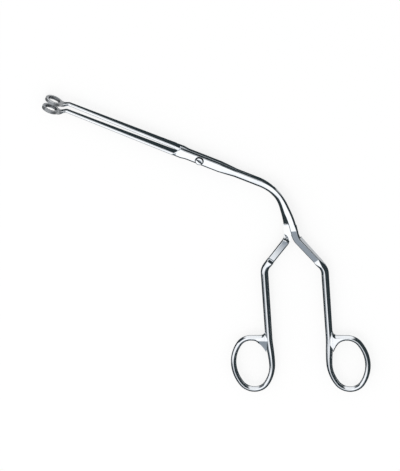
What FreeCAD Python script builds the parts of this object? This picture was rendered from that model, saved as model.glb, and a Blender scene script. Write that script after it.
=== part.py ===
import FreeCAD, Part
import math
import os

from FreeCAD import Vector

# Magill forceps, adult size, in millimetres.
# The origin is on the pivot axis, in the flat rear face of the lap joint. +X runs along the shaft
# to the jaw tips, +Z comes out of the face that shows the screw head, and the handles lie towards
# -X and +Y. The jaws stand slightly open, as at rest.

# Lap joint
LAP_WIDTH = 5.4
LAP_THICKNESS = 3.1          # one half; the pair stack to twice this
LAP_GAP = 0.04               # between the two sliding faces
SHOULDER_NEAR = 13.6         # slanted end of a lap plate, at its short edge
SHOULDER_FAR = 17.6          # and at its long edge
SHOULDER_CLEARANCE = 0.8     # between a lap plate's end and the other half's jaw root
JAW_ROOT = 23.0              # where the jaw arm leaves the lap joint's forging
ROOT_OVERLAP = 2.0           # how far that full-depth root reaches back into the lap plate

# Jaws
JAW_GAP_ROOT = 3.0           # between the two arms, at the lap joint
JAW_GAP_NECK = 3.4
ARM_WIDTH_ROOT = 1.75        # in the plane of motion
ARM_WIDTH_NECK = 1.6
ARM_DEPTH_ROOT = 5.4         # along the pivot axis
ARM_DEPTH_NECK = 2.8
PIVOT_TO_TIP = 103.0
LOOP_LENGTH = 11.0
LOOP_DEPTH = 9.4             # along the pivot axis
LOOP_THICKNESS = 2.2
NECK_LENGTH = 4.3            # the arm widens and swings into the loop's plane over this
NECK_STRAIGHT = 0.2          # and lies in that plane for this much before the loop
NECK_END_DEPTH = 5.6
NECK_OVERLAP = 1.8           # how far the neck runs into the loop's rim
LOOP_HOLE_LENGTH = 7.2
LOOP_HOLE_DEPTH = 6.0
LOOP_OFFSET = 2.3            # the closed loops meet this far to the handle side of the shaft line
CLOSED_GAP = 0.2             # left between the loops at the closed limit
CLOSING_ANGLE = 2.1          # from rest until the loops meet, degrees
TOOTH_PITCH = 0.95
TOOTH_DEPTH = 0.35

# Shaft, bend and yoke
SHAFT_WIDTH = 4.3
SHAFT_THICKNESS = 2.6        # one half
TAPER_END = -24.0            # the lap joint has narrowed to the shaft here
BEND_START = -34.0           # joint between lap plate and bend
BEND_CORNER = -51.5          # the shaft line turns into the two stems here
BEND_RADIUS = 26.0
MIDDLE_START = -59.8         # the handles' middle line meets the shaft line here
MIDDLE_TURN = 66.0           # angle between the two lines, degrees
STEM_CORNER = 17.4           # along the middle line from its start
STEM_OUT_FRONT = 0.2         # from the middle line, towards the half's own handle
STEM_OUT_REAR = 3.4
STEM_RADIUS = 60.0
YOKE_START = 20.4
YOKE_CORNER = 30.8
YOKE_CORNER_OUT = 2.4
YOKE_RADIUS = 12.0
YOKE_STEP_FRONT = 27.5       # the halves reach full depth along a slanted step, which leaves
YOKE_STEP_REAR = 24.5        # room for the other half when the jaws close
YOKE_STEP_RUN = 5.3          # how far the step takes to cross the bar
YOKE_STEP_OUT = 2.8          # where it has crossed, from the middle line
YOKE_STEP_FALL = 0.6         # it comes this much closer to the middle line
YOKE_STEP_LENGTH = 3.6       # over this length
SHOULDER_CORNER = 52.3
SHANK_OUT = 19.0             # handle shank's distance from the middle line
SHOULDER_RADIUS = 9.0
HANDLE_START = 57.4

# Handles
SHANK_WIDTH = 4.7
SHANK_DEPTH = 4.6
SHANK_END_WIDTH = 4.4
SHANK_END_DEPTH = 3.9
SHANK_END = 106.0
SHANK_BESIDE_RING = 5.4      # how far the shank runs along the ring's flank
SHANK_IN_RING = 1.0          # and how far the flank's line lies inside the shank's
RING_LENGTH = 36.0           # of the wire's centre line
RING_WIDTH = 24.2
RING_END_RADIUS = 9.5
RING_WIRE = 3.4

# Pivot screw
SCREW_DIAMETER = 3.0
SCREW_CLEARANCE = 0.05       # radial, in the front plate
HEAD_DIAMETER = 5.0
HEAD_HEIGHT = 1.0
HEAD_CLEARANCE = 0.04
HEAD_CHAMFER = 0.35
SLOT_WIDTH = 0.8
SLOT_DEPTH = 0.55
SLOT_ANGLE = -65.0           # of the slot, from the shaft line

FRONT = 1
REAR = -1
PARTING = LAP_THICKNESS      # height of the sliding faces above the rear face
NECK_END = PIVOT_TO_TIP - LOOP_LENGTH - NECK_STRAIGHT
NECK = NECK_END - NECK_LENGTH
RING_ALONG = SHANK_END - SHANK_BESIDE_RING + RING_LENGTH / 2
RING_OUT = SHANK_OUT - SHANK_IN_RING + RING_WIDTH / 2
TURN = math.radians(MIDDLE_TURN)
STEM_OUT = {FRONT: STEM_OUT_FRONT, REAR: STEM_OUT_REAR}
YOKE_STEP = {FRONT: YOKE_STEP_FRONT, REAR: YOKE_STEP_REAR}
ALONG = Vector(-math.cos(TURN), math.sin(TURN), 0)
ACROSS = Vector(math.sin(TURN), math.cos(TURN), 0)


def handle_point(along, out, side):
    """Point given along the handles' middle line and out from it, on the side of one half."""
    return Vector(MIDDLE_START, 0, 0) + ALONG * along - ACROSS * (out * side)


def levels(side, thickness):
    """Bottom and top height of one half-thick piece."""
    if side == FRONT:
        return PARTING + LAP_GAP / 2, PARTING + thickness
    return PARTING - thickness, PARTING - LAP_GAP / 2


def other_level(side, thickness):
    """Height range beyond the sliding faces, which a full-depth stretch fills as well."""
    if side == FRONT:
        return PARTING - thickness, PARTING + LAP_GAP / 2
    return PARTING - LAP_GAP / 2, PARTING + thickness


def prism(points, bottom, top):
    wire = Part.makePolygon([Vector(p.x, p.y, bottom) for p in points + points[:1]])
    return Part.Face(wire).extrude(Vector(0, 0, top - bottom))


def offset_corners(corners, shift):
    """Corners of the line that runs beside a bent line, shifted to its left."""
    moved = []
    for i, corner in enumerate(corners):
        before = (corner - corners[i - 1]).normalize() if i else None
        after = (corners[i + 1] - corner).normalize() if i + 1 < len(corners) else None
        first = before or after
        last = after or before
        normal_first = Vector(-first.y, first.x, 0)
        normal_last = Vector(-last.y, last.x, 0)
        middle = (normal_first + normal_last).normalize()
        moved.append(corner + middle * (shift / middle.dot(normal_first)))
    return moved


def rounded_edges(corners, radii):
    """Straight runs joined by tangent arcs at the inner corners."""
    edges = []
    start = corners[0]
    for i, radius in enumerate(radii):
        corner = corners[i + 1]
        into = (corner - corners[i]).normalize()
        out = (corners[i + 2] - corner).normalize()
        half_turn = into.getAngle(out) / 2
        reach = radius * math.tan(half_turn)
        entry = corner - into * reach
        leave = corner + out * reach
        inward = (out - into).normalize()
        middle = corner + inward * (radius / math.cos(half_turn) - radius)
        edges.append(Part.LineSegment(start, entry).toShape())
        edges.append(Part.Arc(entry, middle, leave).toShape())
        start = leave
    edges.append(Part.LineSegment(start, corners[-1]).toShape())
    return edges


def bent_strip(corners, radii, width, bottom, top):
    """Flat bar of constant width that follows a line with rounded corners."""
    sides = []
    for shift in (width / 2, -width / 2):
        moved = offset_corners(corners, shift)
        side_radii = []
        for i, radius in enumerate(radii):
            into = corners[i + 1] - corners[i]
            out = corners[i + 2] - corners[i + 1]
            turns_left = 1 if into.cross(out).z > 0 else -1
            side_radii.append(radius - shift * turns_left)
        sides.append((moved, rounded_edges(moved, side_radii)))
    (left, left_edges), (right, right_edges) = sides
    caps = [
        Part.LineSegment(left[0], right[0]).toShape(),
        Part.LineSegment(left[-1], right[-1]).toShape(),
    ]
    wire = Part.Wire(Part.__sortEdges__(left_edges + right_edges + caps))
    wire.translate(Vector(0, 0, bottom))
    return Part.Face(wire).extrude(Vector(0, 0, top - bottom))


def band(start, end):
    """Slab between two stations along the handles' middle line."""
    reach = PIVOT_TO_TIP
    points = [
        handle_point(start, -reach, FRONT),
        handle_point(end, -reach, FRONT),
        handle_point(end, reach, FRONT),
        handle_point(start, reach, FRONT),
    ]
    return prism(points, PARTING - reach, PARTING + reach)


def centre_line(side):
    """Corners of one half's centre line, from the lap joint to the handle shank."""
    return [
        Vector(BEND_START, 0, 0),
        Vector(BEND_CORNER, 0, 0),
        handle_point(STEM_CORNER, STEM_OUT[side], side),
        handle_point(YOKE_CORNER, YOKE_CORNER_OUT, side),
        handle_point(SHOULDER_CORNER, SHANK_OUT, side),
        handle_point(SHANK_END, SHANK_OUT, side),
    ]


CORNER_RADII = [BEND_RADIUS, STEM_RADIUS, YOKE_RADIUS, SHOULDER_RADIUS]


def jaw_section(x, gap, width, depth, side):
    """Rectangle across a jaw arm; the front half has the jaw on the handle side."""
    inner = side * gap / 2
    outer = side * (gap / 2 + width)
    low = PARTING - depth / 2
    high = PARTING + depth / 2
    corners = [Vector(x, inner, low), Vector(x, outer, low), Vector(x, outer, high), Vector(x, inner, high)]
    return Part.makePolygon(corners + corners[:1])


def lap_plate(side):
    """Half-thick plate with a slanted end, and the full-depth root of the jaw arm beside it."""
    half = LAP_WIDTH / 2
    beyond = 3 * half        # well outside the plate's edge
    shaft_half = SHAFT_WIDTH / 2
    outline = [
        Vector(BEND_START, side * shaft_half, 0),
        Vector(TAPER_END, side * shaft_half, 0),
        Vector(-SHOULDER_NEAR, side * half, 0),
        Vector(SHOULDER_FAR, side * half, 0),
        Vector(SHOULDER_NEAR, -side * half, 0),
        Vector(-SHOULDER_NEAR, -side * half, 0),
        Vector(TAPER_END, -side * shaft_half, 0),
        Vector(BEND_START, -side * shaft_half, 0),
    ]
    bottom, top = levels(side, LAP_THICKNESS)
    plate = prism(outline, bottom, top)
    thinning = Part.Face(Part.makePolygon([
        Vector(BEND_START - 1, -beyond, PARTING + side * SHAFT_THICKNESS),
        Vector(TAPER_END, -beyond, PARTING + side * SHAFT_THICKNESS),
        Vector(-SHOULDER_NEAR, -beyond, PARTING + side * LAP_THICKNESS),
        Vector(BEND_START - 1, -beyond, PARTING + side * (LAP_THICKNESS + 1)),
        Vector(BEND_START - 1, -beyond, PARTING + side * SHAFT_THICKNESS),
    ])).extrude(Vector(0, 2 * beyond, 0))
    plate = plate.cut(thinning)
    root = Part.makeLoft([
        jaw_section(SHOULDER_NEAR - ROOT_OVERLAP, JAW_GAP_ROOT, ARM_WIDTH_ROOT, 2 * LAP_THICKNESS, side),
        jaw_section(JAW_ROOT, JAW_GAP_ROOT, ARM_WIDTH_ROOT, ARM_DEPTH_ROOT, side),
    ], True, True)
    room = [
        Vector(0, side * beyond, 0),
        Vector(0, -side * beyond, 0),
        Vector(SHOULDER_FAR + SHOULDER_CLEARANCE, -side * half, 0),
        Vector(SHOULDER_NEAR + SHOULDER_CLEARANCE, side * half, 0),
        Vector(SHOULDER_NEAR, side * beyond, 0),
    ]
    low, high = other_level(side, 2 * LAP_THICKNESS)
    root = root.cut(prism(room, low, high))
    plate = plate.fuse(root).removeSplitter()
    hole_radius = SCREW_DIAMETER / 2
    if side == FRONT:
        hole_radius += SCREW_CLEARANCE
    hole = Part.makeCylinder(hole_radius, 4 * LAP_THICKNESS, Vector(0, 0, -LAP_THICKNESS))
    return plate.cut(hole)


def jaw_arm(side):
    """Slim tapering bar between the lap joint and the loop's neck."""
    return Part.makeLoft([
        jaw_section(JAW_ROOT, JAW_GAP_ROOT, ARM_WIDTH_ROOT, ARM_DEPTH_ROOT, side),
        jaw_section(NECK, JAW_GAP_NECK, ARM_WIDTH_NECK, ARM_DEPTH_NECK, side),
    ], True, True)


def oval_block(length, depth, low, high):
    """Elliptical block whose axis is the Y axis, at the place of the closed loops."""
    centre = Vector(PIVOT_TO_TIP - LOOP_LENGTH / 2, low, PARTING)
    major = centre + Vector(length / 2, 0, 0)
    minor = centre + Vector(0, 0, depth / 2)
    outline = Part.Wire(Part.Ellipse(major, minor, centre).toShape())
    return Part.Face(outline).extrude(Vector(0, high - low, 0))


def jaw_loop(side):
    """Oval ring at the tip, its neck, and the cross serrations of the gripping face."""
    grip = LOOP_OFFSET + side * CLOSED_GAP / 2
    back = grip + side * LOOP_THICKNESS
    low, high = sorted((grip, back))
    loop = oval_block(LOOP_LENGTH, LOOP_DEPTH, low, high)
    hole = oval_block(LOOP_HOLE_LENGTH, LOOP_HOLE_DEPTH, low - 1, high + 1)
    rest_turn = side * CLOSING_ANGLE / 2
    loop.rotate(Vector(0, 0, 0), Vector(0, 0, 1), rest_turn)
    hole.rotate(Vector(0, 0, 0), Vector(0, 0, 1), rest_turn)
    sections = [jaw_section(NECK, JAW_GAP_NECK, ARM_WIDTH_NECK, ARM_DEPTH_NECK, side)]
    for x, depth in ((NECK_END, NECK_END_DEPTH), (NECK_END + NECK_OVERLAP, NECK_END_DEPTH)):
        swing = x * math.tan(math.radians(rest_turn))
        corners = []
        for y, z in ((grip, -1), (back, -1), (back, 1), (grip, 1)):
            corners.append(Vector(x, y + swing, PARTING + z * depth / 2))
        sections.append(Part.makePolygon(corners + corners[:1]))
    neck = Part.makeLoft(sections, True, True)
    loop = loop.fuse(neck).cut(hole)
    teeth = int((LOOP_LENGTH + 1) / TOOTH_PITCH)
    cutters = []
    for i in range(teeth):
        x = PIVOT_TO_TIP - (i + 0.5) * TOOTH_PITCH
        points = [
            Vector(x - TOOTH_PITCH / 2, grip - side * 0.1, 0),
            Vector(x, grip + side * TOOTH_DEPTH, 0),
            Vector(x + TOOTH_PITCH / 2, grip - side * 0.1, 0),
        ]
        groove = prism(points, PARTING - LOOP_DEPTH, PARTING + LOOP_DEPTH)
        groove.rotate(Vector(0, 0, 0), Vector(0, 0, 1), rest_turn)
        cutters.append(groove)
    return loop.cut(cutters)


def bend_plate(side):
    """Half-thick bar round the bend, from the lap plate to the yoke."""
    bottom, top = levels(side, SHAFT_THICKNESS)
    whole = bent_strip(centre_line(side), CORNER_RADII, SHAFT_WIDTH, bottom, top)
    return whole.cut(band(YOKE_START, SHANK_END + 1))


def yoke_arm(side):
    """Bar that leaves the other half sideways and grows to full depth along a slanted step."""
    bottom, top = levels(side, SHAFT_THICKNESS)
    own = bent_strip(centre_line(side), CORNER_RADII, SHAFT_WIDTH, bottom, top)
    bottom, top = other_level(side, SHAFT_THICKNESS)
    other = bent_strip(centre_line(side), CORNER_RADII, SHAFT_WIDTH, bottom, top)
    crossed = YOKE_STEP[side] + YOKE_STEP_RUN
    keep_free = [
        handle_point(YOKE_STEP[side], 2 * SHAFT_WIDTH, side),
        handle_point(0, 2 * SHAFT_WIDTH, side),
        handle_point(0, -SHANK_OUT, side),
        handle_point(crossed + YOKE_STEP_LENGTH, -SHANK_OUT, side),
        handle_point(crossed + YOKE_STEP_LENGTH, YOKE_STEP_OUT - YOKE_STEP_FALL, side),
        handle_point(crossed, YOKE_STEP_OUT, side),
    ]
    other = other.cut(prism(keep_free, bottom - 1, top + 1))
    arm = own.fuse(other).removeSplitter()
    return arm.common(band(YOKE_START, HANDLE_START))


def oval_section(along, width, depth, side):
    """Ellipse across the handle shank, wider in the plane of motion than deep."""
    centre = handle_point(along, SHANK_OUT, side) + Vector(0, 0, PARTING)
    wide = centre + ACROSS * (width / 2)
    deep = centre + Vector(0, 0, depth / 2)
    return Part.Wire(Part.Ellipse(wide, deep, centre).toShape())


def ring_arcs(side):
    """Centre line of a finger ring: an oval of four tangent arcs."""
    a = RING_LENGTH / 2
    b = RING_WIDTH / 2
    end = RING_END_RADIUS
    flank = ((a - end) ** 2 + b ** 2 - end ** 2) / (2 * (b - end))
    lean = math.atan2(a - end, flank - b)
    joint_along = flank * math.sin(lean)
    joint_across = flank * math.cos(lean) - (flank - b)

    def at(along, across):
        return handle_point(RING_ALONG + along, RING_OUT + across, side) + Vector(0, 0, PARTING)

    corners = [
        (at(-joint_along, -joint_across), at(0, -b), at(joint_along, -joint_across)),
        (at(joint_along, -joint_across), at(a, 0), at(joint_along, joint_across)),
        (at(joint_along, joint_across), at(0, b), at(-joint_along, joint_across)),
        (at(-joint_along, joint_across), at(-a, 0), at(-joint_along, -joint_across)),
    ]
    return [Part.Arc(*three).toShape() for three in corners]


def finger_ring(side):
    """Round wire bent to an oval."""
    arcs = ring_arcs(side)
    start = arcs[0].valueAt(arcs[0].FirstParameter)
    tangent = arcs[0].tangentAt(arcs[0].FirstParameter)
    section = Part.Wire(Part.makeCircle(RING_WIRE / 2, start, tangent))
    return Part.Wire(arcs).makePipeShell([section], True, True)


def handle_shank(side):
    """Round-backed bar from the shoulder down to the ring, which it meets on its inner flank."""
    return Part.makeLoft([
        oval_section(HANDLE_START, SHANK_WIDTH, SHANK_DEPTH, side),
        oval_section(SHANK_END, SHANK_END_WIDTH, SHANK_END_DEPTH, side),
    ], True, True)


def pivot_screw():
    """Slotted screw: the head lies on the front plate, the end is flush with the rear face."""
    radius = SCREW_DIAMETER / 2
    head_bottom = PARTING + LAP_THICKNESS + HEAD_CLEARANCE
    shank = Part.makeCylinder(radius, head_bottom + HEAD_HEIGHT / 2)
    head = Part.makeCylinder(HEAD_DIAMETER / 2, HEAD_HEIGHT, Vector(0, 0, head_bottom))
    rim = [e for e in head.Edges if abs(e.BoundBox.ZMin - head_bottom - HEAD_HEIGHT) < 1e-6 and e.Closed]
    head = head.makeChamfer(HEAD_CHAMFER, rim[:1])
    slot = Part.makeBox(2 * HEAD_DIAMETER, SLOT_WIDTH, SLOT_DEPTH + 1)
    slot.translate(Vector(-HEAD_DIAMETER, -SLOT_WIDTH / 2, head_bottom + HEAD_HEIGHT - SLOT_DEPTH))
    slot.rotate(Vector(0, 0, 0), Vector(0, 0, 1), SLOT_ANGLE)
    return shank.fuse(head).cut(slot)


def build():
    os.makedirs("parts", exist_ok=True)
    nodes = {"pivot_screw": pivot_screw()}
    for name, side in (("front", FRONT), ("rear", REAR)):
        ring = finger_ring(side)
        nodes[name + "_jaw_loop"] = jaw_loop(side)
        nodes[name + "_jaw_arm"] = jaw_arm(side)
        nodes[name + "_lap_plate"] = lap_plate(side)
        nodes[name + "_bend"] = bend_plate(side)
        nodes[name + "_yoke_arm"] = yoke_arm(side)
        nodes[name + "_handle_shank"] = handle_shank(side).cut(ring)
        nodes[name + "_finger_ring"] = ring
    for node, shape in nodes.items():
        if shape.ShapeType == "Compound" and len(shape.Solids) == 1:
            shape = shape.Solids[0]
        print(node, shape.ShapeType, len(shape.Solids), "solids", round(shape.Volume, 1), "mm3", shape.isValid())
        shape.exportStep(f"parts/{node}.step")


build()
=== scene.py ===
import math
import bmesh
import bpy
import numpy as np
from mathutils import Matrix, Vector


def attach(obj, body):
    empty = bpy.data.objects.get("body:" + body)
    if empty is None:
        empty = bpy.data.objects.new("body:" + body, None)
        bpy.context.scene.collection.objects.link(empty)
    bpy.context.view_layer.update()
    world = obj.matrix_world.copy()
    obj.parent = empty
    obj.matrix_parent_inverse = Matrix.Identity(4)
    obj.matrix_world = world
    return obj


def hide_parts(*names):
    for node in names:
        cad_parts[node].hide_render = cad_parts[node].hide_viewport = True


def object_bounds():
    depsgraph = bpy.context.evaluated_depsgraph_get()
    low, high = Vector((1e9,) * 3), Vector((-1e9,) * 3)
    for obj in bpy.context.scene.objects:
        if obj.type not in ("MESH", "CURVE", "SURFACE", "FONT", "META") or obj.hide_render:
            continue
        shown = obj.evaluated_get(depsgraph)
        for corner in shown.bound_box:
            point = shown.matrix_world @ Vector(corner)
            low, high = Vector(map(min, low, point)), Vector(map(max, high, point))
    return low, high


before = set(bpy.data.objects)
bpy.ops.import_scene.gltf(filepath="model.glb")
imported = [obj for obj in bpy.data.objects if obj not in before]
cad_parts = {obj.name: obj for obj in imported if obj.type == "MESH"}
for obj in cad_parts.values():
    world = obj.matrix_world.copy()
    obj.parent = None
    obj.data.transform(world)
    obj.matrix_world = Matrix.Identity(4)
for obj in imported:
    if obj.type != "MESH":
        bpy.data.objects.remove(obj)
cad_low, cad_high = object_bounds()

# Rear half, the lower one in the stack.
# One forging of stainless steel from jaw arm to finger ring, ground flat on the faces that slide in
# the lap joint, pressed flat along the yoke arm, and rounded by hand on the shank and the ring.
MM = 0.001
FRONT, REAR = 1, -1

# Sizes are in millimetres. The jaw arm and the lap plate lie along X, and each pair of the arm's
# sizes gives the one at its root and the one at its tip.
PARTING = 3.1
SLIP = 0.02
EDGE = 0.42
LEAST_EDGE, SHORT, SLACK = 0.02, 0.001, 0.01
ARM_ROOT, ARM_TIP = 23.0, 87.5
ARM_INNER = (1.5, 1.7)
ARM_WIDTH = (1.75, 1.6)
ARM_DEPTH = (5.4, 2.8)
ARMS_PARTED = 17.0
LAP_END = 11.6
LAP_DEPTH = 6.2
LAP_TAPER = (-24.0, -13.6)
LAP_HALF, LAP_TOP = 2.7, 6.2
LAP_BEVEL = (1.5, 1.05)
HEEL, HEEL_RUN = 0.55, (8.0, 12.4)
CUT_RUN = (13.6, 16.71)
BLOCK_RUN = (14.3, 15.3)
PARTING_BEVEL, PARTING_RUN = 0.1, (-26.0, -16.0)
STEM_HALF, STEM_TOP = 2.15, 5.7
BEND_START = -34.0

# From the bend on, places are given by how far they lie along the handles' middle line, and how far
# out from it. The step is where a yoke arm goes from half to full thickness.
MIDDLE_START = np.array((-59.8, 0.0))
TURN = math.radians(66.0)
ALONG = np.array((-math.cos(TURN), math.sin(TURN)))
ACROSS = np.array((math.sin(TURN), math.cos(TURN)))
BEND_CORNER = (-51.5, 0.0)
STEM_CORNER = {FRONT: (17.4, 0.2), REAR: (17.4, 3.4)}
YOKE_CORNER = (30.8, 2.4)
SHOULDER_CORNER = 52.3
SHANK_OUT = 19.0
RING_BRANCH = 100.0
LINE_RADII = (26.0, 60.0, 12.0, 9.0)
LINE_STEP = 0.4
YOKE_STEP = {FRONT: 27.5, REAR: 24.5}
STEP_LINE = ((0.0, 8.6), (5.3, 2.8), (8.9, 2.2))
STEM_INNER_EDGES = ((-6.0, LAP_BEVEL[0]), (2.0, 1.8), (12.0, 0.5))
STEM_OUTER_EDGES = ((-4.0, EDGE), (4.0, 1.1), (20.0, 1.1), (25.0, 0.6))
RELIEF, RELIEF_RUN, RELIEF_IN, RELIEF_OUT = 1.35, 2.45, (-4.0, 5.0), (21.5, 21.9)
REAR_BLOCK_GROWTH = (0.1, 3.6, 0.03, 1.0)
YOKE_EDGE = (29.0, 33.0, 0.15, EDGE)
YOKE_INNER_EDGE = {FRONT: (31.0, 35.0, 0.6, 0.6), REAR: (31.0, 35.0, 0.3, 0.95)}
FLAT_START, FLAT_END = {FRONT: 25.0, REAR: 28.4}, 45.0
FLAT_LEAN = {FRONT: -0.13, REAR: -0.02}
FLAT_LEAN_RUN = {FRONT: (24.85, 25.15), REAR: (28.4, 29.0)}
FRONT_FALL = 0.85
REAR_ROUND_FALL, REAR_FALL_POWER, REAR_FALL = 0.75, 2.3, 0.5
REAR_LAST_FALL, REAR_LAST_FALL_START = 0.3, 45.4
SHANK_START, SHANK_ROUND, SHANK_WIDE = 46.0, 50.5, 51.5
SHANK_RISEN = {FRONT: 47.7, REAR: 47.0}
SHANK_LOW = {FRONT: 1.75, REAR: 1.05}
SHANK_DEPTH, SHANK_HALF = 2.3, 2.35
SHANK_TAPER = (57.4, 106.0)
SHANK_END_DEPTH, SHANK_END_HALF = 1.95, 2.2

# Finger ring: an oval of two end arcs and two flank arcs, filleted into the shank at its top.
RING_MIDDLE = (118.6, 30.1)
RING_HALF = (18.0, 12.1)
RING_END_RADIUS = 9.5
WIRE_RADIUS = 1.7
BRANCH_HALF, BRANCH_DEPTH, BRANCH_TURN = 2.2, 2.0, 1.0
BRANCH_NARROWS, BRANCH_THIN = (-10.0, 6.0), 4.0
FILLET_START, FILLET_RADIUS = 5.9, 3.0
ROOT_START, ROOT_END = 8.95, 10.6
ROOT_DEPTH, ROOT_DEEPENS = 1.9, (4.0, 8.9)
ROOT_RISE, ROOT_INNER = 0.4, (-9.0, -12.0)
CORNER_POINTS = 10
SHARP_ANGLE = math.radians(42)


def run_share(value, low, high):
    """0 below low, 1 above high, and a straight run between them."""
    return min(1.0, max(0.0, (value - low) / (high - low)))


def soft_step(value, low, high):
    """The same with a soft start and a soft end."""
    share = run_share(value, low, high)
    return share * share * (3 - 2 * share)


def between(value, low, high, at_low, at_high):
    """Straight run between two sizes, level outside it."""
    return at_low + (at_high - at_low) * run_share(value, low, high)


def through(value, *stops):
    """Straight runs through pairs of a place and the size there, level outside them."""
    for (low, at_low), (high, at_high) in zip(stops, stops[1:]):
        if value < high:
            break
    return between(value, low, high, at_low, at_high)


def handle_point(along, out, side):
    return MIDDLE_START + ALONG * along - ACROSS * (out * side)


def handle_place(point, side):
    """How far along the handles' middle line a point lies, and how far out from it."""
    offset = np.asarray(point) - MIDDLE_START
    return offset @ ALONG, -(offset @ ACROSS) * side


def filleted(corners, radii):
    """The same number of points round every corner.

    A corner without a radius repeats its point, and a pair of lengths makes a bevel instead."""
    points = []
    for i, corner in enumerate(corners):
        radius = radii[i]
        corner = np.array(corner, float)
        if not isinstance(radius, tuple) and radius <= 0:
            points.extend([corner] * CORNER_POINTS)
            continue
        back = np.array(corners[i - 1], float) - corner
        forth = np.array(corners[(i + 1) % len(corners)], float) - corner
        back /= np.linalg.norm(back)
        forth /= np.linalg.norm(forth)
        if isinstance(radius, tuple):
            first, last = corner + back * radius[0], corner + forth * radius[1]
            pull = (corner + first + last) / 3
            for share in np.linspace(0, 1, CORNER_POINTS):
                rest = 1 - share
                points.append(first * rest ** 2 + pull * 2 * share * rest + last * share ** 2)
            continue
        centre = corner + radius * (back + forth)
        for k in range(CORNER_POINTS):
            turn = math.pi / 2 * k / (CORNER_POINTS - 1)
            points.append(centre - radius * (forth * math.cos(turn) + back * math.sin(turn)))
    return np.array(points)


def full_section(left, right, depth, edge, inner_edge=None):
    """Bar section from flat with rounded edges to fully round, that deep to each side."""
    low, high = PARTING - depth, PARTING + depth
    limit = min((right - left) / 2 - SHORT, (high - low) / 2 - SHORT)
    edge = max(LEAST_EDGE, min(edge, limit))
    inner_edge = edge if inner_edge is None else max(LEAST_EDGE, min(inner_edge, limit))
    middle = (low + high) / 2
    corners = [
        (left, middle), (left, middle), (left, low), (right, low),
        (right, middle), (right, middle), (right, high), (left, high),
    ]
    return filleted(corners, [0, 0, edge, inner_edge, 0, 0, inner_edge, edge])


def lapped_section(left, right, top, block, bottom, inner_edge, parting, outer_edge=EDGE, relief=0.0):
    """Half-thick plate with a block under part of it, which reaches the other half's level.

    The block is given by its left and right. The parting is the bevel on the sliding face's edge
    where no block is, and the relief takes the face's outer side down by that much."""
    least_block, thin_block, thick_block, thin_edge = 0.05, 2.6, 4.0, 0.08
    longest_ramp, ramp_share = 1.1, 0.45
    bevel_slope, bevel_share = 0.55, 0.6
    low = PARTING + SLIP
    block_left, block_right = block
    if block_right - block_left < least_block:
        block_left = block_right = left if block_right <= (left + right) / 2 else right
        bottom = low
    block_edge = between(block_right - block_left, thin_block, thick_block, thin_edge, EDGE)
    block_edge = max(0.0, min(block_edge, (block_right - block_left) / 2 - SLACK, low - bottom - SLACK))
    outer_edge = min(outer_edge, (right - left) / 2 - SLACK)
    inner_edge = min(inner_edge, (right - left) - outer_edge - SLACK)
    if relief > SLACK:
        block_left = block_right = left + relief * RELIEF_RUN
    ramp = 0.0
    if block_right < right - 2 * SLACK:
        ramp = min(longest_ramp, (block_right - block_left) * ramp_share)
    corners = [
        (left, low + relief), (block_left, low), (block_left, bottom), (block_right - ramp, bottom),
        (block_right, low), (right, low), (right, top), (left, top),
    ]
    parting_edge = (parting, parting) if relief <= SLACK and block_left >= right - SLACK else 0.0
    bevel = (min(inner_edge * bevel_slope, (top - low) * bevel_share), inner_edge)
    return filleted(corners, [parting_edge, 0, block_edge, block_edge, 0, 0, bevel, outer_edge])


def leaned(section, lean):
    """Makes a section thinner towards one side, so that its flat faces tilt."""
    moved = section.copy()
    middle = (section[:, 0].min() + section[:, 0].max()) / 2
    depth = np.abs(section[:, 1] - PARTING).max()
    moved[:, 1] = PARTING + (section[:, 1] - PARTING) * (1 + lean * (section[:, 0] - middle) / depth)
    return moved


def straight_station(x, section):
    """A section across the straight shaft line, looking back from the tips."""
    return np.array((x, 0.0)), np.array((-1.0, 0.0)), section


def jaw_stations():
    """From the loop's neck back to the start of the bend, on the straight shaft line."""
    stations = []
    for x in (
        *np.linspace(ARM_TIP, 24.0, 24), *np.arange(ARM_ROOT, 10.0, -0.2), *np.linspace(9.8, BEND_START, 40)
    ):
        depth = through(x, (LAP_END, LAP_DEPTH), (ARM_ROOT, ARM_DEPTH[0]), (ARM_TIP, ARM_DEPTH[1])) / 2
        if x >= ARMS_PARTED:
            inner = between(x, ARM_ROOT, ARM_TIP, *ARM_INNER)
            width = between(x, ARM_ROOT, ARM_TIP, *ARM_WIDTH)
            section = full_section(inner, inner + width, depth, EDGE)
        else:
            half = between(x, *LAP_TAPER, STEM_HALF, LAP_HALF)
            top = between(x, *LAP_TAPER, STEM_TOP, LAP_TOP) if x < LAP_END else PARTING + depth
            right = half + HEEL * soft_step(x, *HEEL_RUN)
            left = between(x, *CUT_RUN, -half, ARM_INNER[0])
            block = (between(x, *BLOCK_RUN, right, ARM_INNER[0]), right)
            inner_edge = between(x, *LAP_TAPER, *LAP_BEVEL)
            parting = between(x, *PARTING_RUN, PARTING_BEVEL, EDGE)
            section = lapped_section(left, right, top, block, PARTING - depth, inner_edge, parting)
        stations.append(straight_station(x, section))
    return stations


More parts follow.
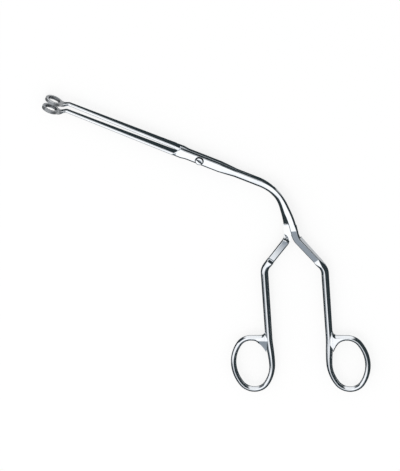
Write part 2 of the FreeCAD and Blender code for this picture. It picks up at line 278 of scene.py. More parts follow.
def rounded_line(corners):
    """Points and headings along straight runs joined by tangent arcs."""
    corners = [np.array(c, float) for c in corners]
    line = []

    def run(start, end, heading):
        count = max(1, round(np.linalg.norm(end - start) / LINE_STEP))
        for k in range(count):
            line.append((start + (end - start) * k / count, heading))

    start = corners[0]
    for i, radius in enumerate(LINE_RADII):
        corner = corners[i + 1]
        into = (corner - corners[i]) / np.linalg.norm(corner - corners[i])
        out = (corners[i + 2] - corner) / np.linalg.norm(corners[i + 2] - corner)
        turn = math.acos(max(-1.0, min(1.0, into @ out)))
        left = 1 if into[0] * out[1] - into[1] * out[0] > 0 else -1
        entry = corner - into * radius * math.tan(turn / 2)
        run(start, entry, into)
        centre = entry + left * radius * np.array((-into[1], into[0]))
        count = max(4, round(radius * turn / LINE_STEP))
        for k in range(count):
            a = left * turn * k / count
            rotate = np.array(((math.cos(a), -math.sin(a)), (math.sin(a), math.cos(a))))
            line.append((centre + rotate @ (entry - centre), rotate @ into))
        start = corner + out * radius * math.tan(turn / 2)
    run(start, corners[-1], (corners[-1] - start) / np.linalg.norm(corners[-1] - start))
    return line


def block_reach(point, heading, side):
    """How far across the yoke arm its full-depth block reaches, from the outer edge inwards."""
    inward = np.array((heading[1], -heading[0])) * side
    start = YOKE_STEP[side]
    stops = [(start + past, out) for past, out in STEP_LINE]
    reach = -STEM_HALF
    for a in np.linspace(-STEM_HALF, STEM_HALF, 87):
        along, out = handle_place(point + inward * a, side)
        if along > stops[-1][0] or (along > start and out > through(along, *stops)):
            reach = a
        else:
            break
    return reach


def yoke_section(along, reach, side):
    """Stem and yoke arm: half thick until the halves have crossed, then full, and falling away."""
    fall = run_share(along, FLAT_START[side], FLAT_END)
    if side == FRONT:
        top = STEM_TOP - FRONT_FALL * fall
    else:
        top = STEM_TOP - REAR_ROUND_FALL * (1 - (1 - fall) ** REAR_FALL_POWER) - REAR_FALL * fall
        top -= REAR_LAST_FALL * run_share(along, REAR_LAST_FALL_START, SHANK_START)
    depth = top - PARTING
    if reach >= STEM_HALF - SLACK:
        edge = between(along, *YOKE_EDGE)
        section = full_section(-STEM_HALF, STEM_HALF, depth, edge, between(along, *YOKE_INNER_EDGE[side]))
    else:
        inner_edge = through(along, *STEM_INNER_EDGES)
        outer_edge = through(along, *STEM_OUTER_EDGES)
        relief = RELIEF * soft_step(along, *RELIEF_IN) * (1 - soft_step(along, *RELIEF_OUT))
        grown = between(reach + STEM_HALF, *REAR_BLOCK_GROWTH) if side == REAR else 1.0
        section = lapped_section(
            -STEM_HALF, STEM_HALF, top, (-STEM_HALF, reach), PARTING - depth * grown, inner_edge,
            PARTING_BEVEL, outer_edge, relief,
        )
    return leaned(section, FLAT_LEAN[side] * soft_step(along, *FLAT_LEAN_RUN[side]))


def shank_section(along, side):
    """Shank: it rises from the yoke arm's flat, goes from flat to round, and tapers to the ring."""
    rise = soft_step(along, SHANK_START, SHANK_RISEN[side])
    depth = SHANK_LOW[side] + (SHANK_DEPTH - SHANK_LOW[side]) * rise
    depth = between(along, *SHANK_TAPER, depth, SHANK_END_DEPTH)
    half = between(along, SHANK_START, SHANK_WIDE, STEM_HALF, SHANK_HALF)
    half = between(along, *SHANK_TAPER, half, SHANK_END_HALF)
    edge = between(along, SHANK_START, SHANK_ROUND, EDGE, SHANK_DEPTH)
    return leaned(full_section(-half, half, depth, edge), (1 - rise) * FLAT_LEAN[side])


def bar_stations(side):
    """Round the bend, along the yoke arm and down the shank to the finger ring."""
    corners = [
        (BEND_START, 0.0),
        BEND_CORNER,
        handle_point(*STEM_CORNER[side], side),
        handle_point(*YOKE_CORNER, side),
        handle_point(SHOULDER_CORNER, SHANK_OUT, side),
        handle_point(RING_BRANCH, SHANK_OUT, side),
    ]
    stations = []
    for point, heading in rounded_line(corners):
        along = handle_place(point, side)[0]
        if along < SHANK_START:
            section = yoke_section(along, block_reach(point, heading, side), side)
        else:
            section = shank_section(along, side)
        stations.append((point, heading, section))
    return stations


def webbed_section(half, web, depth):
    """Wire section whose inner side goes over into a web, which slopes down into the ring."""
    web_run, web_slope, least_web = (0.1, 1.6), 0.16, 0.2
    shoulder_edge, shoulder_share = 0.3, 0.9
    share = soft_step(web, *web_run)
    thin = max(least_web, depth - web_slope * web) * share
    low, high = PARTING - depth, PARTING + depth
    outer = min(depth, WIRE_RADIUS) - SHORT
    shoulder = min(outer * (1 - share) + shoulder_edge * share, (depth - thin) * shoulder_share + SLACK)
    corners = [
        (-half, PARTING + thin), (-half, PARTING - thin), (-half + web, low), (half, low),
        (half, PARTING), (half, PARTING), (half, high), (-half + web, high),
    ]
    return filleted(corners, [0, 0, shoulder, outer, 0, 0, outer, shoulder])


def ring_spots(flank, end_middle, flank_middle, lean):
    """Middle of the wire and its turn, from the shank once round the ring to its top."""
    end = RING_END_RADIUS
    from_shank = RING_BRANCH - RING_MIDDLE[0]
    shank_q = SHANK_OUT - RING_MIDDLE[1]
    swing_out = RING_HALF[1] + shank_q
    spots = []
    for k in range(24):
        share = k / 24
        swing = share * share * (3 - 2 * share)
        slope = 6 * share * (1 - share) * swing_out / from_shank
        spots.append((from_shank * (1 - share), shank_q - swing_out * swing, math.atan(slope)))
    for count, p, q, radius, start, sweep in (
        (16, 0.0, flank_middle, flank, 0.0, lean),
        (40, end_middle, 0.0, end, lean, math.pi - 2 * lean),
        (40, 0.0, -flank_middle, flank, math.pi - lean, 2 * lean),
        (20, -end_middle, 0.0, end, math.pi + lean, math.pi / 2 - lean),
    ):
        for k in range(count):
            turn = start + sweep * k / count
            spots.append((p + radius * math.sin(turn), q - radius * math.cos(turn), turn))
    return spots


def ring_stations(side):
    """From the shank round the finger ring, and back into the shank at the top."""
    long_half, wide_half = RING_HALF
    end = RING_END_RADIUS
    flank = ((long_half - end) ** 2 + wide_half ** 2 - end ** 2) / (2 * (wide_half - end))
    end_middle = long_half - end
    flank_middle = flank - wide_half
    lean = math.atan2(end_middle, flank_middle)
    from_shank = RING_BRANCH - RING_MIDDLE[0]
    stations = []
    for p, q, turn in ring_spots(flank, end_middle, flank_middle, lean):
        point = handle_point(RING_MIDDLE[0] + p, RING_MIDDLE[1] + q, side)
        heading = ALONG * math.cos(turn) - ACROSS * (math.sin(turn) * side)
        half = depth = WIRE_RADIUS
        if turn < BRANCH_TURN:
            half = between(p, *BRANCH_NARROWS, BRANCH_HALF, WIRE_RADIUS)
            depth = between(p, from_shank, BRANCH_THIN, BRANCH_DEPTH, WIRE_RADIUS)
        stations.append((point, heading, full_section(-half, half, depth, depth)))
    crest = -long_half - WIRE_RADIUS
    inner_end, inner_flank = end - WIRE_RADIUS, flank - WIRE_RADIUS
    rounding = np.sin(np.linspace(0.1, 1.0, 14) * math.pi / 2)
    for q in (
        *np.linspace(-0.4, -FILLET_START, 10), *(-FILLET_START - FILLET_RADIUS * rounding),
        *np.linspace(-9.2, -ROOT_END, 5),
    ):
        into = min(FILLET_RADIUS, max(0.0, -FILLET_START - q))
        upper = crest - (FILLET_RADIUS - math.sqrt(max(0.0, FILLET_RADIUS ** 2 - into ** 2)))
        if q > -inner_end * math.sin(math.pi / 2 - lean):
            lower = -end_middle - math.sqrt(inner_end ** 2 - q ** 2)
        else:
            lower = -math.sqrt(max(1.0, inner_flank ** 2 - (flank_middle - q) ** 2))
        if q < -ROOT_START:
            upper = between(-q, ROOT_START, ROOT_END, crest - FILLET_RADIUS, crest + ROOT_RISE)
            lower = between(-q, ROOT_START, ROOT_END, *ROOT_INNER)
        half = (lower - upper) / 2
        depth = between(-q, *ROOT_DEEPENS, WIRE_RADIUS, ROOT_DEPTH)
        point = handle_point(RING_MIDDLE[0] + (upper + lower) / 2, RING_MIDDLE[1] + q, side)
        web = max(0.0, lower - (crest + 2 * WIRE_RADIUS))
        if side == REAR:
            section = webbed_section(half, web, depth)
        else:
            section = full_section(-half, half, depth, depth)
        stations.append((point, ACROSS * side, section))
    return stations


def placed(name, data):
    """New object in the scene."""
    made = bpy.data.objects.new(name, data)
    bpy.context.scene.collection.objects.link(made)
    return made


def tidied(name, mesh):
    """Joins doubled points, points the faces outwards and shades the rounded surfaces smoothly."""
    work = bmesh.new()
    work.from_mesh(mesh)
    bmesh.ops.remove_doubles(work, verts=work.verts, dist=0.0002 * MM)
    bmesh.ops.dissolve_degenerate(work, edges=work.edges, dist=0.0001 * MM)
    bmesh.ops.recalc_face_normals(work, faces=work.faces)
    work.to_mesh(mesh)
    work.free()
    mesh.polygons.foreach_set("use_smooth", [True] * len(mesh.polygons))
    mesh.set_sharp_from_angle(angle=SHARP_ANGLE)
    return placed(name, mesh)


def closed_tube(name, points, count):
    """Skin over rings of that many points each, with both ends closed."""
    last = len(points) - count
    faces = [tuple(range(count)), tuple(range(last, len(points)))]
    for start in range(0, last, count):
        for k in range(count):
            following = (k + 1) % count
            faces.append((start + k, start + following, start + count + following, start + count + k))
    mesh = bpy.data.meshes.new(name)
    mesh.from_pydata((np.array(points) * MM).tolist(), [], faces)
    return tidied(name, mesh)


def skin(name, stations, side):
    """Tube through sections that are given for the front half; the rear one's are turned over."""
    rings = []
    for point, heading, section in stations:
        right = np.array((heading[1], -heading[0]))
        height = section[:, 1] if side == FRONT else 2 * PARTING - section[:, 1]
        rings.append(np.column_stack((point + section[:, :1] * side * right, height)))
    return closed_tube(name, np.vstack(rings), len(rings[0]))


def flat_faces_stay_flat(made):
    weighted = made.modifiers.new("even_faces", "WEIGHTED_NORMAL")
    weighted.keep_sharp = True


# The steel is belt ground and then buffed on a wheel. It keeps fine hairlines from the wheel, small
# pits, slightly duller patches where it is handled, and a cool grey cast.
STEEL_BRIGHT = (0.875, 0.885, 0.9, 1.0)
STEEL_DULL = (0.79, 0.805, 0.83, 1.0)
# Colour of the painted shade, laid on the steel in the loops' holes, round the screw's head and in its
# slot.
PAINTED_SHADE_COLOUR = (0.06, 0.07, 0.08, 1.0)
BUFFED_ROUGHNESS = 0.06
HAIRLINE_SCALE = (260.0, 9000.0, 9000.0)
CLOUD_SCALE, HANDLED = 70.0, (0.46, 0.68)
PIT_SCALE, PIT_SIZE = 900.0, (0.02, 0.06)
RELIEF_STRENGTH, RELIEF_HEIGHT = 0.12, 0.02
SATIN_RUN, SATIN_ROUGHNESS, SATIN_DULLING = 2.5, 0.2, 0.3
# Size and height of the painted shade ring on the lap face round the screw's head.
JOINT_SHADE_RADII, JOINT_SHADE_HEIGHTS = (2.72, 2.95), (5.9, 6.1)


class Amount:
    """A number that changes over a surface: expressions on it add Math nodes to its tree."""

    def __init__(self, tree, socket):
        self.tree = tree
        self.socket = socket

    def combine(self, operation, first, second):
        return self.tree.amount("ShaderNodeMath", {"operation": operation}, {0: first, 1: second})

    def __add__(self, other):
        return self.combine("ADD", self, other)

    def __radd__(self, other):
        return self.combine("ADD", other, self)

    def __sub__(self, other):
        return self.combine("SUBTRACT", self, other)

    def __rsub__(self, other):
        return self.combine("SUBTRACT", other, self)

    def __mul__(self, other):
        return self.combine("MULTIPLY", self, other)

    def __rmul__(self, other):
        return self.combine("MULTIPLY", other, self)

    def __truediv__(self, other):
        return self.combine("DIVIDE", self, other)

    def __rtruediv__(self, other):
        return self.combine("DIVIDE", other, self)

    def __pow__(self, other):
        return self.combine("POWER", self, other)


class Tree:
    """Node tree of a material, of the studio's light or of a modifier, while it is put together."""

    def __init__(self, tree):
        self.tree = tree
        tree.nodes.clear()

    def node(self, kind, settings=None, values=None):
        """Adds a node; its sockets take plain values, other nodes' sockets or amounts."""
        made = self.tree.nodes.new(kind)
        for name, value in (settings or {}).items():
            setattr(made, name, value)
        for name, value in (values or {}).items():
            if isinstance(value, Amount):
                value = value.socket
            if isinstance(value, bpy.types.NodeSocket):
                self.tree.links.new(value, made.inputs[name])
            else:
                made.inputs[name].default_value = value
        return made

    def amount(self, kind, settings=None, values=None):
        return Amount(self, self.node(kind, settings, values).outputs[0])

    def ramp_up(self, value, low, high):
        """0 below low, 1 above high, and a soft step between them."""
        smooth = {"interpolation_type": "SMOOTHSTEP"}
        return self.amount("ShaderNodeMapRange", smooth, {0: value, 1: low, 2: high})

    def mixed(self, factor, first, second):
        """Blend of two colours."""
        values = {0: factor, 6: first, 7: second}
        return self.node("ShaderNodeMix", {"data_type": "RGBA"}, values).outputs[2]

    def coordinates(self, place, axes):
        """The named coordinates of a place."""
        parts = self.node("ShaderNodeSeparateXYZ", {}, {0: place}).outputs
        return [Amount(self, parts[axis]) for axis in axes]

    def millimetres(self, place, axes):
        return [part * (1 / MM) for part in self.coordinates(place, axes)]


def buffed_steel(name, painted_shade, roughness=BUFFED_ROUGHNESS, hairline_turn=0.0, satin_from=None):
    """Buffed steel with its hairlines across the direction that the turn gives.

    The painted shade is a function that gives how dark the steel's colour is painted at a place, from 0 to
    1, in place of real shade. Beyond the given X, in millimetres, the steel is left satin by the abrasive
    belt."""
    material = bpy.data.materials.new(name)
    material.use_nodes = True
    steel = Tree(material.node_tree)
    place = steel.node("ShaderNodeTexCoord").outputs["Object"]
    turned_place = steel.node(
        "ShaderNodeMapping",
        {"vector_type": "POINT"},
        {"Vector": place, "Rotation": (0, 0, hairline_turn), "Scale": HAIRLINE_SCALE},
    ).outputs[0]
    hairlines = steel.amount(
        "ShaderNodeTexNoise", {}, {"Vector": turned_place, "Scale": 1.0, "Detail": 3.0, "Roughness": 0.6}
    )
    cloudy = steel.amount(
        "ShaderNodeTexNoise", {}, {"Vector": place, "Scale": CLOUD_SCALE, "Detail": 4.0, "Roughness": 0.55}
    )
    specks = steel.amount(
        "ShaderNodeTexVoronoi", {"feature": "F1"}, {"Vector": place, "Scale": PIT_SCALE, "Randomness": 1.0}
    )
    handling = steel.ramp_up(cloudy, *HANDLED)
    pits = 1.0 - steel.ramp_up(specks, *PIT_SIZE)
    colour = steel.mixed(handling * 0.55 + pits * 0.4, STEEL_BRIGHT, STEEL_DULL)
    # Painted shade: the colour goes over to the dark shade colour where the given function says.
    colour = steel.mixed(painted_shade(steel, place), colour, PAINTED_SHADE_COLOUR)
    dullness = roughness + handling * 0.035 + hairlines * 0.03 + pits * 0.1
    metallic = 1.0
    if satin_from is not None:
        satin = steel.ramp_up(*steel.millimetres(place, "X"), satin_from, satin_from + SATIN_RUN)
        dullness = dullness + satin * SATIN_ROUGHNESS
        metallic = 1.0 - satin * SATIN_DULLING
    height = hairlines * 0.6 + cloudy * 0.9 - pits * 0.5
    relief = steel.node(
        "ShaderNodeBump",
        {},
        {"Strength": RELIEF_STRENGTH, "Distance": RELIEF_HEIGHT * MM, "Height": height},
    ).outputs[0]
    surface = steel.node(
        "ShaderNodeBsdfPrincipled",
        {},
        {"Base Color": colour, "Metallic": metallic, "Roughness": dullness, "Normal": relief},
    ).outputs[0]
    steel.node("ShaderNodeOutputMaterial", {}, {"Surface": surface})
    return material


def joint_painted_shade(steel, place):
    """Painted shade: a dark ring on the lap face round the screw's head, where shade falls between the two
    parts.
    """
    x, y, z = steel.millimetres(place, "XYZ")
    near = 1.0 - steel.ramp_up((x * x + y * y) ** 0.5, *JOINT_SHADE_RADII)
    return near * steel.ramp_up(z, *JOINT_SHADE_HEIGHTS)


forging_steel = buffed_steel("buffed_forging_steel", joint_painted_shade)


def forged_half(name, side):
    made = skin(name, jaw_stations() + bar_stations(side) + ring_stations(side), side)
    made.data.materials.append(forging_steel)
    flat_faces_stay_flat(made)
    return made


rear_forging = forged_half("rear_forging", REAR)
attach(rear_forging, "rear_half")
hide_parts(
    "rear_jaw_arm", "rear_lap_plate", "rear_bend", "rear_yoke_arm", "rear_handle_shank",
    "rear_finger_ring",
)

# Front half, the upper one, which carries the lower jaw of the two.
# The same forging turned over, so that its flat lap face lies on the rear one's. Its yoke arm is
# ground with a slight lean towards the other handle.
front_forging = forged_half("front_forging", FRONT)
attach(front_forging, "front_half")
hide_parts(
    "front_jaw_arm", "front_lap_plate", "front_bend", "front_yoke_arm", "front_handle_shank",
    "front_finger_ring",
)

# Jaw loops, one at each tip.
# Open ovals, forged in one with their necks, with a rounded outer face and rim. The gripping face
# is milled flat and cut across with V grooves.
LOOP_MIDDLE = 97.5
LOOP_HALF = (5.5, 4.7)
LOOP_THICKNESS = 2.2
LOOP_LIP, LOOP_RIM = [(-0.2, 0.0), (-0.08, 0.04), (0.0, 0.16)], 0.4
HOLE_HALF = (3.65, 3.1)
HOLE_LIP, HOLE_RIM = [(0.35, -1.0), (0.35, -0.2), (0.12, 0.1), (0.0, 0.3)], 0.25
CLOSED_MIDDLE = 2.3
HALF_CLOSED_GAP = 0.1
HALF_CLOSING = math.radians(1.05)
NECK_SWUNG, NECK_END = 91.9, 93.4
NECK_FLARE, NECK_FLARE_START, NECK_FLARE_POWER = 1.75, 87.9, 1.6
NECK_EDGE, NECK_EDGE_END = 0.62, 91.0
SATIN_START = 89.8
GROOVES = {
    "Grooves": 15, "Pitch": 0.95 * MM, "Depth": 0.35 * MM, "First groove": -8.0 * MM, "Length": 14.0 * MM
}
LATHE_STEPS = 96


def loop_painted_shade(steel, place):
    """Painted shade on the wall of the hole, and less of it round the outer rim."""
    x, z = steel.millimetres(place, "XZ")
    x, z = x - LOOP_MIDDLE, z - PARTING
    in_hole = x * x / HOLE_HALF[0] ** 2 + z * z / HOLE_HALF[1] ** 2
    in_rim = x * x / LOOP_HALF[0] ** 2 + z * z / LOOP_HALF[1] ** 2
    wall = 1.0 - steel.ramp_up(in_hole, 1.1, 1.2)
    rim = steel.ramp_up(in_rim, 0.91, 0.98) * steel.ramp_up(x, -4.6, -3.6)
    return wall * 0.85 + rim * 0.7


satin_steel = buffed_steel("satin_loop_steel", loop_painted_shade, satin_from=SATIN_START)


def oval_lathe(name, half, profile):
    """Oval body whose axis is the Y axis; the profile gives how far it is grown, and at what Y."""
    points = []
    for grow, y in profile:
        for k in range(LATHE_STEPS):
            turn = 2 * math.pi * k / LATHE_STEPS
            c, s = math.cos(turn), math.sin(turn)
            normal = np.array((c / half[0], s / half[1]))
            normal /= np.linalg.norm(normal)
            points.append((half[0] * c + normal[0] * grow, y, half[1] * s + normal[1] * grow))
    return closed_tube(name, points, LATHE_STEPS)


def serrated_loop_tree():
    """Joins neck and loop, opens the hole and cuts the row of V grooves."""
    tree = bpy.data.node_groups.new("serrated_loop", "GeometryNodeTree")
    for title, kind in (
        ("Geometry", "Geometry"), ("Neck", "Object"), ("Hole", "Object"), ("Pitch", "Float"),
        ("Depth", "Float"), ("First groove", "Float"), ("Length", "Float"), ("Grooves", "Int"),
        ("Steel", "Material"),
    ):
        tree.interface.new_socket(title, in_out="INPUT", socket_type="NodeSocket" + kind)
    tree.interface.new_socket("Geometry", in_out="OUTPUT", socket_type="NodeSocketGeometry")
    groove_reach, over_face = 0.66, 0.1
    work = Tree(tree)

    def shape(kind, settings=None, values=None):
        return work.node(kind, settings, values).outputs[0]

    def vector(**parts):
        return shape("ShaderNodeCombineXYZ", {}, parts)

    def original(helper):
        info = work.node("GeometryNodeObjectInfo", {"transform_space": "ORIGINAL"}, {"Object": helper})
        return info.outputs["Geometry"]

    given = work.node("NodeGroupInput").outputs
    half_pitch = Amount(work, given["Pitch"]) * groove_reach
    deep = Amount(work, given["Depth"]) + over_face * MM
    half_length = Amount(work, given["Length"]) * 0.5
    triangle = shape("GeometryNodeCurvePrimitiveCircle", {}, {"Resolution": 3, "Radius": 1.0})
    ends = {"Start": vector(Z=half_length * -1.0), "End": vector(Z=half_length)}
    rod = shape("GeometryNodeCurvePrimitiveLine", {}, ends)
    prism = shape(
        "GeometryNodeCurveToMesh", {}, {"Curve": rod, "Profile Curve": triangle, "Fill Caps": True}
    )
    row = shape(
        "GeometryNodeMeshLine", {},
        {
            "Count": given["Grooves"],
            "Start Location": vector(X=given["First groove"]),
            "Offset": vector(X=given["Pitch"]),
        },
    )
    teeth = shape(
        "GeometryNodeInstanceOnPoints", {},
        {"Points": row, "Instance": prism, "Scale": vector(X=half_pitch, Y=deep, Z=1.0)},
    )
    cutters = shape("GeometryNodeRealizeInstances", {}, {0: teeth})
    joined = work.node("GeometryNodeMeshBoolean", {"operation": "UNION", "solver": "EXACT"})
    tree.links.new(given["Geometry"], joined.inputs["Mesh 2"])
    tree.links.new(original(given["Neck"]), joined.inputs["Mesh 2"])
    less = {"operation": "DIFFERENCE", "solver": "EXACT"}
    opened = shape(
        "GeometryNodeMeshBoolean", less, {"Mesh 1": joined.outputs[0], "Mesh 2": original(given["Hole"])}
    )
    cut = shape("GeometryNodeMeshBoolean", less, {"Mesh 1": opened, "Mesh 2": cutters})
    solid = shape("GeometryNodeRealizeInstances", {}, {0: cut})
    finished = shape("GeometryNodeSetMaterial", {}, {"Geometry": solid, "Material": given["Steel"]})
    work.node("NodeGroupOutput", {}, {0: finished})
    return tree


serrated_loop = serrated_loop_tree()


def neck_stations(side):
    """Neck in the closed loop's own frame: out from the arm, and widening into the loop."""
    arm_inner, arm_width, arm_depth = ARM_INNER[1], ARM_WIDTH[1], ARM_DEPTH[1]
    stations = []
    for x in np.linspace(ARM_TIP, NECK_END, 22):
        swing = x * math.tan(HALF_CLOSING)
        share = soft_step(x, ARM_TIP, NECK_SWUNG)
        inner = arm_inner + (CLOSED_MIDDLE * side + HALF_CLOSED_GAP + swing - arm_inner) * share
        width = arm_width + (LOOP_THICKNESS - arm_width) * share
        flare = NECK_FLARE * run_share(x, NECK_FLARE_START, NECK_END) ** NECK_FLARE_POWER
        edge = between(x, ARM_TIP, NECK_EDGE_END, EDGE, NECK_EDGE)
        section = full_section(inner, inner + width, arm_depth / 2 + flare, edge)
        stations.append(straight_station(x, section))
    return stations


def evaluated_mesh(made):
    """Mesh of an object with its modifiers applied."""
    depsgraph = bpy.context.evaluated_depsgraph_get()
    return bpy.data.meshes.new_from_object(made.evaluated_get(depsgraph), depsgraph=depsgraph)


def jaw_loop(name, side):
    """One loop at rest, with its gripping face towards the other loop."""
    rim_start = LOOP_THICKNESS - LOOP_RIM
    rim = [
        (-LOOP_RIM + LOOP_RIM * math.cos(a), rim_start + LOOP_RIM * math.sin(a))
        for a in np.linspace(0, math.pi / 2, 8)
    ]
    puck = oval_lathe(name + "_blank", LOOP_HALF, LOOP_LIP + rim)
    rim_start = LOOP_THICKNESS - HOLE_RIM
    rim = [
        (HOLE_RIM - HOLE_RIM * math.cos(a), rim_start + HOLE_RIM * math.sin(a))
        for a in np.linspace(0.2, math.pi / 2, 6)
    ]
    beyond = (HOLE_RIM, LOOP_THICKNESS + 1.0)
    hole = oval_lathe(name + "_hole", HOLE_HALF, [*HOLE_LIP, (0.0, rim_start), *rim, beyond])
    place = (
        Matrix.Rotation(side * HALF_CLOSING, 4, "Z")
        @ Matrix.Translation(Vector((LOOP_MIDDLE, CLOSED_MIDDLE + side * HALF_CLOSED_GAP, PARTING)) * MM)
        @ Matrix.Diagonal((1, side, 1, 1))
    )
    neck = skin(name + "_neck", neck_stations(side), side)
    neck.data.transform(place.inverted())
    if side == REAR:
        neck.data.flip_normals()
    given = {"Neck": neck, "Hole": hole, "Steel": satin_steel, **GROOVES}
    cutter = puck.modifiers.new("serrations", "NODES")
    cutter.node_group = serrated_loop
    for item in serrated_loop.interface.items_tree:
        if item.in_out == "INPUT" and item.name in given:
            cutter[item.identifier] = given[item.name]
    mesh = evaluated_mesh(puck)
    mesh.transform(place)
    for helper in (puck, hole, neck):
        bpy.data.objects.remove(helper)
    made = tidied(name, mesh)
    flat_faces_stay_flat(made)
    return made


for half, side in (("rear", REAR), ("front", FRONT)):
    loop = jaw_loop(half + "_serrated_loop", side)
    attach(loop, half + "_half")
    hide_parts(half + "_jaw_loop")

# Pivot screw.
# Turned stainless screw: its slotted head lies on the front lap face, and its threaded end is
# riveted flush in the rear one.
STEM_RADIUS, STEM_CHAMFER = 1.5, 0.08
HEAD_RADIUS = 2.5
HEAD_LOW, HEAD_HIGH = 6.24, 7.24
HEAD_EDGE, CROWN_RADIUS, CROWN_RISE, CROWN_TIP = 0.06, 0.45, 0.03, 0.4
SLOT_TURN = math.radians(-17)
SLOT_HALF, SLOT_DEPTH, CUTTER_HALF, CUTTER_HEIGHT = 0.4, 0.55, 4, 2
TURNED_ROUGHNESS, TURNED_HAIRLINES = 0.1, 0.7


def slot_painted_shade(steel, place):
    """Painted shade down in the slot, and on the flank of the head."""
    turned_place = steel.node(
        "ShaderNodeMapping", {"vector_type": "POINT"}, {"Vector": place, "Rotation": (0, 0, -SLOT_TURN)}
    ).outputs[0]
    x, y, z = steel.millimetres(turned_place, "XYZ")
    in_slot = 1.0 - steel.ramp_up(y * y, (SLOT_HALF + 0.02) ** 2, (SLOT_HALF + 0.1) ** 2)
    sunk = 1.0 - steel.ramp_up(z, HEAD_HIGH - 0.16, HEAD_HIGH - 0.04)
    flank = steel.ramp_up((x * x + y * y) ** 0.5, HEAD_RADIUS - 0.4, HEAD_RADIUS - 0.3)
    return 1.0 - (1.0 - in_slot * sunk) * (1.0 - flank)


screw_steel = buffed_steel("turned_screw_steel", slot_painted_shade, TURNED_ROUGHNESS, TURNED_HAIRLINES)

screw_profile = [
    (STEM_RADIUS - STEM_CHAMFER, 0.0), (STEM_RADIUS, STEM_CHAMFER), (STEM_RADIUS, HEAD_LOW),
    (HEAD_RADIUS - HEAD_EDGE, HEAD_LOW), (HEAD_RADIUS, HEAD_LOW + HEAD_EDGE),
]
for a in np.linspace(0, math.pi / 2, 7):
    screw_profile.append((
        HEAD_RADIUS - CROWN_RADIUS * (1 - math.cos(a)), HEAD_HIGH - CROWN_RADIUS * (1 - math.sin(a))
    ))
screw_profile.append((CROWN_TIP, HEAD_HIGH + CROWN_RISE))
screw_points = []
for radius, z in screw_profile:
    for k in range(LATHE_STEPS):
        turn = 2 * math.pi * k / LATHE_STEPS
        screw_points.append((radius * math.cos(turn), radius * math.sin(turn), z))
blank = closed_tube("slotted_pivot_screw", screw_points, LATHE_STEPS)

slot_low = HEAD_HIGH - SLOT_DEPTH
slot_corners = [
    (x, y, z)
    for x in (-CUTTER_HALF, CUTTER_HALF)
    for y in (-SLOT_HALF, SLOT_HALF)
    for z in (slot_low, slot_low + CUTTER_HEIGHT)
]
slot_mesh = bpy.data.meshes.new("slot")
slot_mesh.from_pydata(
    (np.array(slot_corners) * MM).tolist(), [],
    [(0, 1, 3, 2), (4, 6, 7, 5), (0, 4, 5, 1), (2, 3, 7, 6), (0, 2, 6, 4), (1, 5, 7, 3)],
)
slot_mesh.transform(Matrix.Rotation(SLOT_TURN, 4, "Z"))
slot_cutter = tidied("slot_cutter", slot_mesh)
cut = blank.modifiers.new("slot", "BOOLEAN")
cut.object = slot_cutter
cut.operation = "DIFFERENCE"
cut.solver = "EXACT"
soften = blank.modifiers.new("soft_edges", "BEVEL")
soften.width = HEAD_EDGE * MM
soften.segments = 2
soften.limit_method = "ANGLE"
soften.angle_limit = math.radians(50)
screw_mesh = evaluated_mesh(blank)
bpy.data.objects.remove(blank)
bpy.data.objects.remove(slot_cutter)
screw = tidied("slotted_pivot_screw", screw_mesh)
screw.data.materials.clear()
screw.data.materials.append(screw_steel)
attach(screw, "rear_half")
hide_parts("pivot_screw")

# Studio.
# A wide pale floor and even white light. What the polished steel mirrors is set apart: a ceiling
# opposite the camera with a grey ring below it, white screens round the room, and dark ground.
FLOOR_HALF, FLOOR_GAP = 12.0, 0.0002
FLOOR_GLOW = 0.8
PALE = (0.93, 0.93, 0.93, 1.0)
WHITE = (1.0, 1.0, 1.0, 1.0)
SCREEN_COLOUR = (0.975, 0.985, 1.0, 1.0)
GREY_COLOUR = (0.93, 1.03, 1.16, 1.0)
DARK_COLOUR = (0.6, 0.88, 1.0, 1.0)
CEILING_FACING = 232
SCREEN_STRENGTH, LOW_STRENGTH, SHOULDER_STRENGTH = 1.16, 0.5, 0.3
LEFT_SHARE, BEHIND_SHARE = 0.9, 0.85
GREY_STRENGTH, DARK_STRENGTH = 0.3, 0.04
BORDER = 0.04

floor_mesh = bpy.data.meshes.new("studio_floor")
floor_mesh.from_pydata(
    [
        (x * FLOOR_HALF, y * FLOOR_HALF, cad_low.z - FLOOR_GAP)
        for x, y in ((-1, -1), (1, -1), (1, 1), (-1, 1))
    ],
    [], [(0, 1, 2, 3)],
)
studio_floor = placed("studio_floor", floor_mesh)
pale_floor = bpy.data.materials.new("pale_floor")
pale_floor.use_nodes = True
floor = Tree(pale_floor.node_tree)
floor_path = floor.node("ShaderNodeLightPath").outputs
pale = floor.node("ShaderNodeBsdfDiffuse", {}, {"Color": PALE}).outputs[0]
white = floor.node("ShaderNodeEmission", {}, {"Color": WHITE, "Strength": 1.0}).outputs[0]
seen = floor.node("ShaderNodeMixShader", {}, {0: FLOOR_GLOW, 1: pale, 2: white}).outputs[0]
open_ground = floor.node("ShaderNodeBsdfTransparent").outputs[0]
ground = floor.node(
    "ShaderNodeMixShader", {}, {0: floor_path["Is Glossy Ray"], 1: seen, 2: open_ground}
).outputs[0]
floor.node("ShaderNodeOutputMaterial", {}, {"Surface": ground})
floor_mesh.materials.append(pale_floor)

world = bpy.data.worlds.new("studio_light")
bpy.context.scene.world = world
world.use_nodes = True
sky = Tree(world.node_tree)
direction = sky.node("ShaderNodeTexCoord").outputs["Generated"]
east, north, height = sky.coordinates(direction, "XYZ")
level = (1.0 - height * height + 0.0001) ** 0.5


def towards(azimuth):
    """How far a direction points to that azimuth, in degrees from east."""
    return east * math.cos(math.radians(azimuth)) + north * math.sin(math.radians(azimuth))


def screen(azimuth, spread, low, high, soft=5.0):
    """Part of the room round one azimuth, between two heights, with soft borders."""
    outer, inner = (math.cos(math.radians(spread + more)) for more in (soft, -soft))
    inside = sky.ramp_up(towards(azimuth) / level, outer, inner)
    above = sky.ramp_up(height, low - BORDER, low + BORDER)
    return inside * above * (1.0 - sky.ramp_up(height, high - BORDER, high + BORDER))


def backdrop(colour, strength):
    return sky.node("ShaderNodeBackground", {}, {"Color": colour, "Strength": strength}).outputs[0]


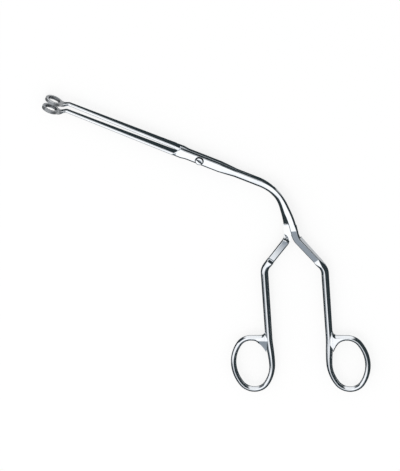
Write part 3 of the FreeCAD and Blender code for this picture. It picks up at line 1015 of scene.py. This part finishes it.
opposite = 1.0 - sky.ramp_up(towards(CEILING_FACING), -0.16, 0.02)
high_up = sky.ramp_up(height, 0.79, 0.88)
not_right = sky.ramp_up(east, -0.27, -0.18)
ceiling = high_up * opposite * not_right
grey_ring = sky.ramp_up(height, 0.62, 0.67) * (1.0 - high_up) * opposite
low_left = screen(34, 19, 0.34, 0.72, 2.0)
high_left = screen(44, 24, 0.68, 0.86, 3.0)
low_screen = screen(202, 17, -0.95, -0.78)
behind_camera = screen(300, 33, -0.75, 1.2, 11.0)
over_shoulder = screen(265, 9, 0.32, 0.56)
left_side = 1.0 - (1.0 - low_left) * (1.0 - high_left)
brightest = 1.0 - (1.0 - ceiling) * (1.0 - left_side * LEFT_SHARE) * (1.0 - behind_camera * BEHIND_SHARE)
glow = brightest * SCREEN_STRENGTH + low_screen * LOW_STRENGTH + over_shoulder * SHOULDER_STRENGTH
grey = grey_ring * GREY_STRENGTH * (1.0 - left_side)
darkness = backdrop(DARK_COLOUR, DARK_STRENGTH)
dim = sky.node("ShaderNodeAddShader", {}, {0: backdrop(GREY_COLOUR, grey), 1: darkness}).outputs[0]
mirrored = sky.node("ShaderNodeAddShader", {}, {0: backdrop(SCREEN_COLOUR, glow), 1: dim}).outputs[0]
sky_path = sky.node("ShaderNodeLightPath").outputs
both = sky.node(
    "ShaderNodeMixShader", {}, {0: sky_path["Is Glossy Ray"], 1: backdrop(WHITE, 1.0), 2: mirrored}
).outputs[0]
sky.node("ShaderNodeOutputWorld", {}, {"Surface": both})

LAMP_SIZE, LAMP_POWER = 0.6, 1.2
LAMP_PLACE, LAMP_AIM = Vector((0.1, 0.5, 0.9)), Vector((-0.03, 0.06, 0.0))
lamp_data = bpy.data.lights.new("soft_lamp", "AREA")
lamp_data.shape = "DISK"
lamp_data.size = LAMP_SIZE
lamp_data.energy = LAMP_POWER
lamp = placed("soft_lamp", lamp_data)
lamp.location = LAMP_PLACE
lamp.rotation_euler = (LAMP_AIM - LAMP_PLACE).to_track_quat("-Z", "Y").to_euler()
lamp.visible_glossy = False
lamp.visible_camera = False

# Camera.
# A long lens from the photograph's direction, 28 degrees off the screw's axis.
PICTURE_RIGHT = Vector((-0.9301, -0.3467, -0.1215))
PICTURE_UP = Vector((0.3628, -0.8141, -0.4535))
TOWARDS_CAMERA = Vector((0.0583, -0.4659, 0.8829))
PIXEL, PICTURE_ROWS = 0.62, 471
PIVOT_RIGHT, PIVOT_UP = 0.223, 47.77
SENSOR, LENS = 36.0, 1200.0
camera_data = bpy.data.cameras.new("camera")
camera_data.sensor_width = SENSOR
camera_data.lens = LENS
camera = placed("camera", camera_data)
distance = PIXEL * PICTURE_ROWS * MM * LENS / SENSOR
aim = Vector((0, 0, PARTING * MM)) - PICTURE_RIGHT * PIVOT_RIGHT * MM - PICTURE_UP * PIVOT_UP * MM
turn = Matrix((PICTURE_RIGHT, PICTURE_UP, TOWARDS_CAMERA)).transposed()
camera.matrix_world = Matrix.Translation(aim + TOWARDS_CAMERA * distance) @ turn.to_4x4()
camera_data.clip_start = distance * 0.1
camera_data.clip_end = distance * 4
bpy.context.scene.camera = camera
bpy.context.scene.view_settings.view_transform = "Standard"
